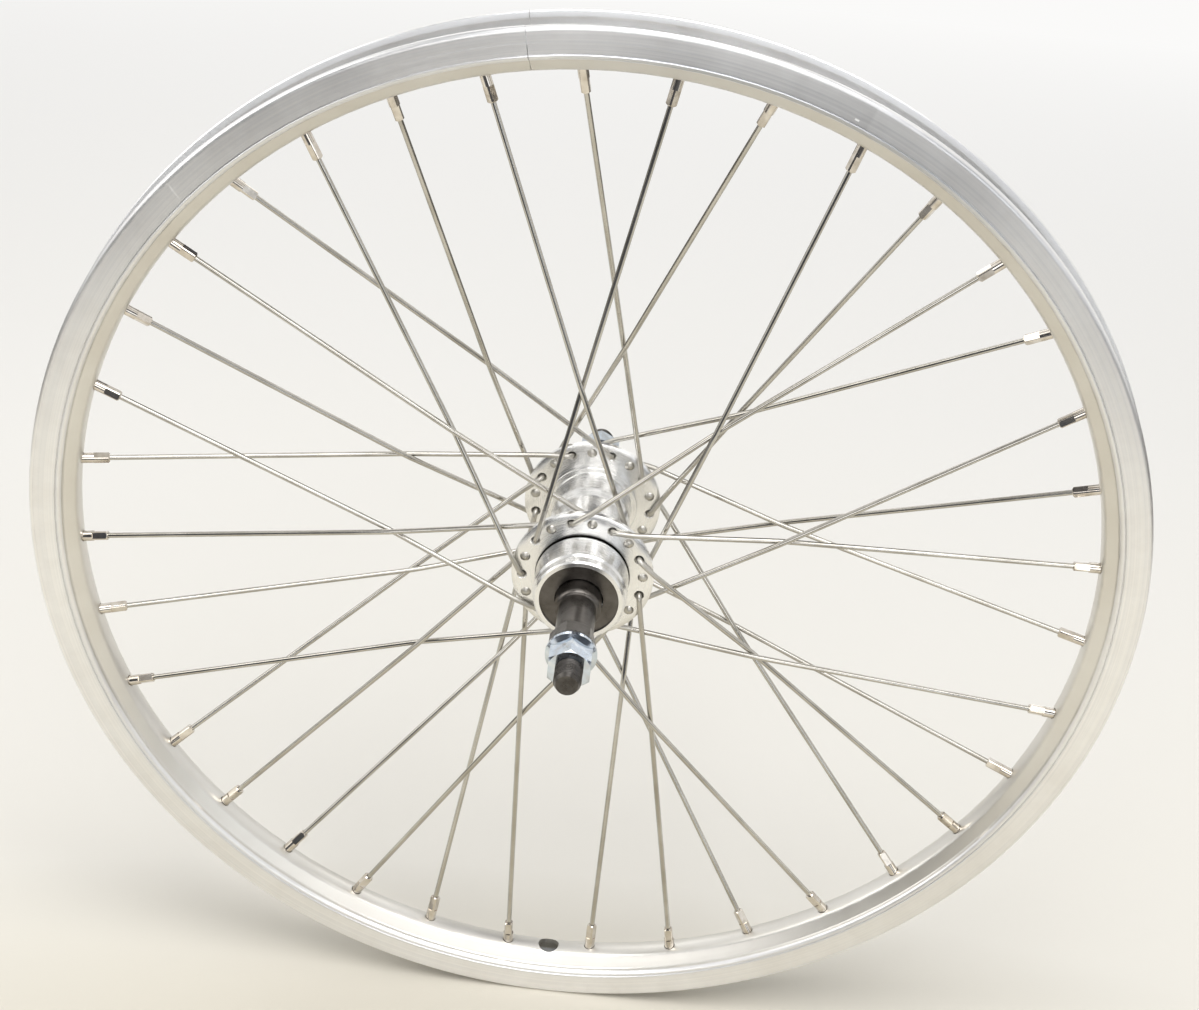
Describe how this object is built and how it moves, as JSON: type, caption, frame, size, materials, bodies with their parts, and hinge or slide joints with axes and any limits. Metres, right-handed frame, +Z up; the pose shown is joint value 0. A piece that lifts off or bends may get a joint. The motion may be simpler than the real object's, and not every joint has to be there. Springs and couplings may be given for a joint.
{
  "type": "bicycle rear wheel",
  "caption": "spoked bicycle rear wheel with a polished aluminium rim and hub, a threaded freewheel boss and a solid nutted axle; it spins on cup-and-cone bearings",
  "frame": {"origin": "wheel centre, on the axle axis and in the middle plane of the rim", "axes": "axle along Y with the drive side facing -Y, +Z up, the valve hole straight down"},
  "size_m": [0.42, 0.18, 0.42],
  "materials": {
    "rim_aluminium": "satin",
    "hub_aluminium": "polished",
    "spoke_steel": "drawn wire",
    "nickel_brass": "nickel plated",
    "pin_steel": "plain",
    "bearing_steel": "ground",
    "dark_steel": "dark phosphate",
    "zinc_steel": "zinc plated",
    "black_axle_steel": "black, threaded"
  },
  "bodies": {
    "axle_set": {"axle": "black_axle_steel", "drive_cone": "dark_steel", "drive_spacer": "dark_steel", "drive_lock_nut": "dark_steel", "drive_axle_washer": "zinc_steel", "drive_axle_nut": "zinc_steel", "left_cone": "dark_steel", "left_spacer": "dark_steel", "left_lock_nut": "dark_steel", "left_axle_washer": "zinc_steel", "left_axle_nut": "zinc_steel"},
    "wheel": {"rim": "rim_aluminium", "rim_joint_pins": "pin_steel", "nipples": "nickel_brass", "hub_shell": "hub_aluminium", "spoke_01": "spoke_steel", "spoke_02": "spoke_steel", "spoke_03": "spoke_steel", "spoke_04": "spoke_steel", "spoke_05": "spoke_steel", "spoke_06": "spoke_steel", "spoke_07": "spoke_steel", "spoke_08": "spoke_steel", "spoke_09": "spoke_steel", "spoke_10": "spoke_steel", "spoke_11": "spoke_steel", "spoke_12": "spoke_steel", "spoke_13": "spoke_steel", "spoke_14": "spoke_steel", "spoke_15": "spoke_steel", "spoke_16": "spoke_steel", "spoke_17": "spoke_steel", "spoke_18": "spoke_steel", "spoke_19": "spoke_steel", "spoke_20": "spoke_steel", "spoke_21": "spoke_steel", "spoke_22": "spoke_steel", "spoke_23": "spoke_steel", "spoke_24": "spoke_steel", "spoke_25": "spoke_steel", "spoke_26": "spoke_steel", "spoke_27": "spoke_steel", "spoke_28": "spoke_steel", "spoke_29": "spoke_steel", "spoke_30": "spoke_steel", "spoke_31": "spoke_steel", "spoke_32": "spoke_steel", "spoke_33": "spoke_steel", "spoke_34": "spoke_steel", "spoke_35": "spoke_steel", "spoke_36": "spoke_steel", "drive_bearing_cup": "bearing_steel", "drive_dust_cap": "dark_steel", "left_bearing_cup": "bearing_steel", "left_dust_cap": "dark_steel"},
    "drive_ball_set": {"drive_balls": "bearing_steel"},
    "left_ball_set": {"left_balls": "bearing_steel"}
  },
  "joints": [
    {"name": "wheel_spin", "type": "hinge", "parent": "axle_set", "child": "wheel", "pos_m": [0, 0, 0], "axis": [0, 1, 0], "continuous": true},
    {"name": "drive_balls_roll", "type": "hinge", "parent": "axle_set", "child": "drive_ball_set", "pos_m": [0, -0.02863, 0], "axis": [0, 1, 0], "continuous": true},
    {"name": "left_balls_roll", "type": "hinge", "parent": "axle_set", "child": "left_ball_set", "pos_m": [0, 0.03963, 0], "axis": [0, 1, 0], "continuous": true}
  ],
  "couplings": [
    {"joint": "drive_balls_roll", "follows": "wheel_spin", "ratio": 0.6145},
    {"joint": "left_balls_roll", "follows": "wheel_spin", "ratio": 0.6145}
  ]
}
